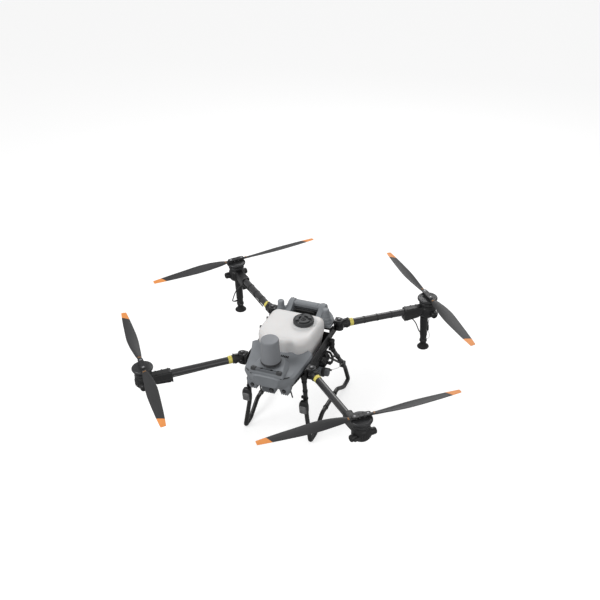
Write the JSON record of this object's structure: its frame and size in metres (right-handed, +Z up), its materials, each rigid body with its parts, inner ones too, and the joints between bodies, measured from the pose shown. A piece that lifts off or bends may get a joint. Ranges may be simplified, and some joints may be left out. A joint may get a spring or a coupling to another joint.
{
  "type": "agricultural spray drone",
  "caption": "Four-rotor agricultural spray drone: folding arms, folding propellers, lift-out tank and battery, rear centrifugal nozzles and bent-tube landing gear.",
  "frame": {"origin": "centre of the belly plate's flat underside, 0.462 m above the ground the skids stand on", "axes": "+Z up, -Y out of the nose, +X to the aircraft's left; the two rear arms carry the nozzles"},
  "size_m": [2.2896, 2.2534, 0.7732],
  "materials": {
    "shell_grey": "fine moulded texture, blue-grey",
    "frame_black": "glass-filled nylon and black-anodised alloy, satin",
    "carbon": "carbon-fibre tube under clear satin resin",
    "blade": "carbon-filled composite with fine lengthwise streaks, orange tips",
    "tank_white": "translucent white blow-moulded polyethylene",
    "rubber": "matt",
    "dark_grey": "matt dark grey moulding",
    "antenna_metal": "satin",
    "lamp_glass": "clear ribbed lamp cover over a grey reflector"
  },
  "bodies": {
    "airframe": {"centre_frame": "frame_black", "front_shell": "shell_grey", "chin_pan": "shell_grey", "forward_radar_pod": "shell_grey", "nose_sensor_bar": "dark_grey", "radar_base": "dark_grey", "radar_radome": "shell_grey", "rear_shell": "shell_grey", "rear_radar": "dark_grey", "battery_tray": "frame_black", "flow_meter": "dark_grey", "avionics_box": "dark_grey", "gnss_antenna_left": "shell_grey", "whip_antenna_left": "rubber", "landing_gear_left": "frame_black", "spotlight_left": "lamp_glass", "pump_left": "frame_black", "gnss_antenna_right": "shell_grey", "whip_antenna_right": "rubber", "landing_gear_right": "frame_black", "spotlight_right": "lamp_glass", "pump_right": "frame_black", "arm_bracket_front_left": "frame_black", "arm_bracket_front_right": "frame_black", "arm_bracket_rear_left": "frame_black", "arm_bracket_rear_right": "frame_black"},
    "arm_front_left": {"arm_knuckle_front_left": "frame_black", "arm_tube_front_left": "carbon", "motor_mount_front_left": "frame_black"},
    "rotor_front_left": {"rotor_bell_front_left": "frame_black"},
    "blade_front_left_a": {"blade_front_left_a": "blade"},
    "blade_front_left_b": {"blade_front_left_b": "blade"},
    "arm_front_right": {"arm_knuckle_front_right": "frame_black", "arm_tube_front_right": "carbon", "motor_mount_front_right": "frame_black"},
    "rotor_front_right": {"rotor_bell_front_right": "frame_black"},
    "blade_front_right_a": {"blade_front_right_a": "blade"},
    "blade_front_right_b": {"blade_front_right_b": "blade"},
    "arm_rear_left": {"arm_knuckle_rear_left": "frame_black", "arm_tube_rear_left": "carbon", "motor_mount_rear_left": "frame_black", "nozzle_stem_rear_left": "frame_black"},
    "rotor_rear_left": {"rotor_bell_rear_left": "frame_black"},
    "blade_rear_left_a": {"blade_rear_left_a": "blade"},
    "blade_rear_left_b": {"blade_rear_left_b": "blade"},
    "nozzle_disc_rear_left": {"nozzle_disc_rear_left": "rubber"},
    "arm_rear_right": {"arm_knuckle_rear_right": "frame_black", "arm_tube_rear_right": "carbon", "motor_mount_rear_right": "frame_black", "nozzle_stem_rear_right": "frame_black"},
    "rotor_rear_right": {"rotor_bell_rear_right": "frame_black"},
    "blade_rear_right_a": {"blade_rear_right_a": "blade"},
    "blade_rear_right_b": {"blade_rear_right_b": "blade"},
    "nozzle_disc_rear_right": {"nozzle_disc_rear_right": "rubber"},
    "spray_tank": {"spray_tank": "tank_white"},
    "tank_lid": {"tank_lid": "dark_grey"},
    "battery": {"battery": "dark_grey"},
    "radar_antenna": {"radar_antenna": "antenna_metal"}
  },
  "joints": [
    {"name": "arm_fold_front_left", "type": "hinge", "parent": "airframe", "child": "arm_front_left", "pos_m": [0.235, -0.24, 0.066], "axis": [0, 0, 1], "range_deg": [0, 104]},
    {"name": "rotor_spin_front_left", "type": "hinge", "parent": "arm_front_left", "child": "rotor_front_left", "pos_m": [0.7025, -0.6575, 0.138], "axis": [0, 0, 1], "continuous": true},
    {"name": "blade_fold_front_left_a", "type": "hinge", "parent": "rotor_front_left", "child": "blade_front_left_a", "pos_m": [0.73269, -0.63126, 0.1805], "axis": [0, 0, 1], "range_deg": [-90, 0]},
    {"name": "blade_fold_front_left_b", "type": "hinge", "parent": "rotor_front_left", "child": "blade_front_left_b", "pos_m": [0.67231, -0.68374, 0.1805], "axis": [0, 0, 1], "range_deg": [-90, 0]},
    {"name": "arm_fold_front_right", "type": "hinge", "parent": "airframe", "child": "arm_front_right", "pos_m": [-0.235, -0.24, 0.066], "axis": [0, 0, 1], "range_deg": [-104, 0]},
    {"name": "rotor_spin_front_right", "type": "hinge", "parent": "arm_front_right", "child": "rotor_front_right", "pos_m": [-0.7025, -0.6575, 0.138], "axis": [0, 0, 1], "continuous": true},
    {"name": "blade_fold_front_right_a", "type": "hinge", "parent": "rotor_front_right", "child": "blade_front_right_a", "pos_m": [-0.72927, -0.62777, 0.1805], "axis": [0, 0, 1], "range_deg": [-90, 0]},
    {"name": "blade_fold_front_right_b", "type": "hinge", "parent": "rotor_front_right", "child": "blade_front_right_b", "pos_m": [-0.67573, -0.68723, 0.1805], "axis": [0, 0, 1], "range_deg": [-90, 0]},
    {"name": "arm_fold_rear_left", "type": "hinge", "parent": "airframe", "child": "arm_rear_left", "pos_m": [0.235, 0.24, 0.113], "axis": [0, 0, 1], "range_deg": [-104, 0]},
    {"name": "rotor_spin_rear_left", "type": "hinge", "parent": "arm_rear_left", "child": "rotor_rear_left", "pos_m": [0.7025, 0.6575, 0.138], "axis": [0, 0, 1], "continuous": true},
    {"name": "blade_fold_rear_left_a", "type": "hinge", "parent": "rotor_rear_left", "child": "blade_rear_left_a", "pos_m": [0.67497, 0.68651, 0.1805], "axis": [0, 0, 1], "range_deg": [-90, 0]},
    {"name": "blade_fold_rear_left_b", "type": "hinge", "parent": "rotor_rear_left", "child": "blade_rear_left_b", "pos_m": [0.73003, 0.62848, 0.1805], "axis": [0, 0, 1], "range_deg": [-90, 0]},
    {"name": "nozzle_disc_spin_rear_left", "type": "hinge", "parent": "arm_rear_left", "child": "nozzle_disc_rear_left", "pos_m": [0.68758, 0.64418, -0.217], "axis": [0, 0, 1], "continuous": true},
    {"name": "arm_fold_rear_right", "type": "hinge", "parent": "airframe", "child": "arm_rear_right", "pos_m": [-0.235, 0.24, 0.113], "axis": [0, 0, 1], "range_deg": [0, 104]},
    {"name": "rotor_spin_rear_right", "type": "hinge", "parent": "arm_rear_right", "child": "rotor_rear_right", "pos_m": [-0.7025, 0.6575, 0.138], "axis": [0, 0, 1], "continuous": true},
    {"name": "blade_fold_rear_right_a", "type": "hinge", "parent": "rotor_rear_right", "child": "blade_rear_right_a", "pos_m": [-0.67573, 0.68723, 0.1805], "axis": [0, 0, 1], "range_deg": [-90, 0]},
    {"name": "blade_fold_rear_right_b", "type": "hinge", "parent": "rotor_rear_right", "child": "blade_rear_right_b", "pos_m": [-0.72927, 0.62777, 0.1805], "axis": [0, 0, 1], "range_deg": [-90, 0]},
    {"name": "nozzle_disc_spin_rear_right", "type": "hinge", "parent": "arm_rear_right", "child": "nozzle_disc_rear_right", "pos_m": [-0.68758, 0.64418, -0.217], "axis": [0, 0, 1], "continuous": true},
    {"name": "tank_lift", "type": "slide", "parent": "airframe", "child": "spray_tank", "axis": [0, 0, 1], "range_m": [0, 0.35]},
    {"name": "tank_lid_turn", "type": "hinge", "parent": "spray_tank", "child": "tank_lid", "pos_m": [0.074, 0.035, 0.243], "axis": [0, 0, 1], "range_deg": [0, 90]},
    {"name": "battery_lift", "type": "slide", "parent": "airframe", "child": "battery", "axis": [0, 0, 1], "range_m": [0, 0.3]},
    {"name": "radar_antenna_spin", "type": "hinge", "parent": "airframe", "child": "radar_antenna", "pos_m": [0, -0.3165, 0.164], "axis": [0, 0, 1], "continuous": true}
  ]
}
